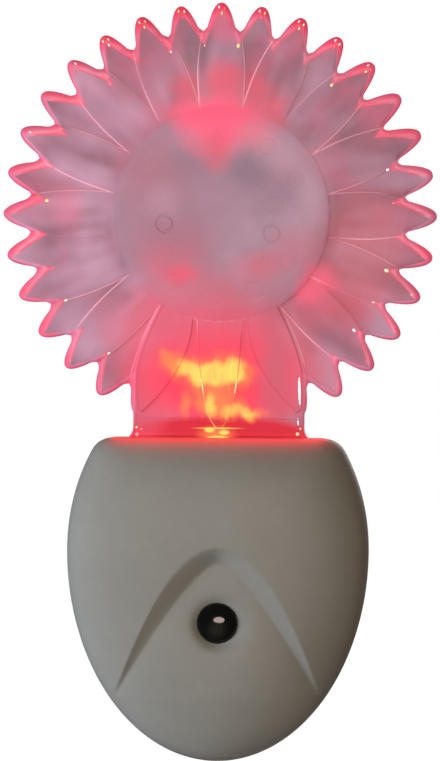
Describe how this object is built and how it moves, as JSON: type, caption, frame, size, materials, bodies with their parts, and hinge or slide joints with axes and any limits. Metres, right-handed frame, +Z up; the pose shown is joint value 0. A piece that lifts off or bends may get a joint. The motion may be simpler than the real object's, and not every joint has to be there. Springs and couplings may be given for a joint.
{
  "type": "plug in night light",
  "caption": "Night light with an edge-lit flower panel, a shield-shaped housing with a light sensor, and a plug that turns a quarter turn.",
  "frame": {"origin": "middle of the plug between the blades, on the wall plane", "axes": "+X right seen from the front, -Y out of the wall towards the room, +Z up; +Y runs into the outlet"},
  "size_m": [0.074, 0.041, 0.13],
  "materials": {
    "housing_plastic": "satin",
    "back_plastic": "satin",
    "plug_plastic": "satin",
    "clear_panel": "gloss",
    "smoked_lens": "polished",
    "blade_brass": "satin",
    "contact_brass": "satin",
    "board_laminate": "satin",
    "lamp_lens": "gloss",
    "pin_metal": "satin",
    "holder_plastic": "satin",
    "shield_plastic": "matte",
    "cell_ceramic": "matte",
    "film_case": "gloss",
    "can_sleeve": "gloss",
    "blue_resistor": "gloss",
    "tan_resistor": "gloss",
    "black_epoxy": "matte",
    "zener_glass": "gloss",
    "yoke_plastic": "satin",
    "screw_steel": "satin"
  },
  "bodies": {
    "plug": {"plug_disc": "plug_plastic", "blade_left": "blade_brass", "blade_right": "blade_brass", "centre_contact": "contact_brass", "ring_contact": "contact_brass"},
    "light": {"front_cover": "housing_plastic", "rear_cover": "back_plastic", "flower_shade": "clear_panel", "sensor_lens": "smoked_lens", "photocell": "cell_ceramic", "light_shield_tube": "shield_plastic", "circuit_board": "board_laminate", "led": "lamp_lens", "led_leads": "pin_metal", "led_holder": "holder_plastic", "film_capacitor": "film_case", "electrolytic_capacitor": "can_sleeve", "fusible_resistor": "blue_resistor", "bleed_resistor": "tan_resistor", "bias_resistor": "tan_resistor", "rectifier_diodes": "black_epoxy", "zener_diode": "zener_glass", "transistor": "black_epoxy", "centre_wiper": "contact_brass", "ring_wiper": "contact_brass", "plug_retainer": "yoke_plastic", "retainer_screws": "screw_steel", "board_screws": "screw_steel", "housing_screws": "screw_steel"}
  },
  "joints": [
    {"name": "plug_turn", "type": "hinge", "parent": "plug", "child": "light", "pos_m": [0, 0, 0], "axis": [0, 1, 0], "range_deg": [0, 90]}
  ]
}
